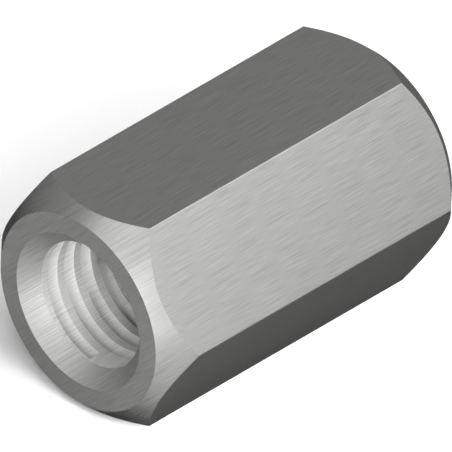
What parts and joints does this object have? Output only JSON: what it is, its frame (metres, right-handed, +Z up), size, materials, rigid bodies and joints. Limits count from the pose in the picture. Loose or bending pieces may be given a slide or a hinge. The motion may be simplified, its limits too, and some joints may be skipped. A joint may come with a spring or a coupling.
{
  "type": "coupling nut",
  "caption": "Long hexagonal nut with a threaded bore right through, chamfered and countersunk at its ends, for joining threaded rods end to end.",
  "frame": {"origin": "middle of the nut, on the bore's axis halfway between the two end faces", "axes": "+Y along the bore from the front end face to the back one, +Z up out of the upper flat with the nut lying on its lower flat, +X towards a corner of the hexagon"},
  "size_m": [0.0274, 0.0412, 0.0238],
  "materials": {
    "nut": "bare steel, finely brushed along the flats"
  },
  "bodies": {
    "root": {"coupling_nut": "nut"}
  },
  "joints": []
}
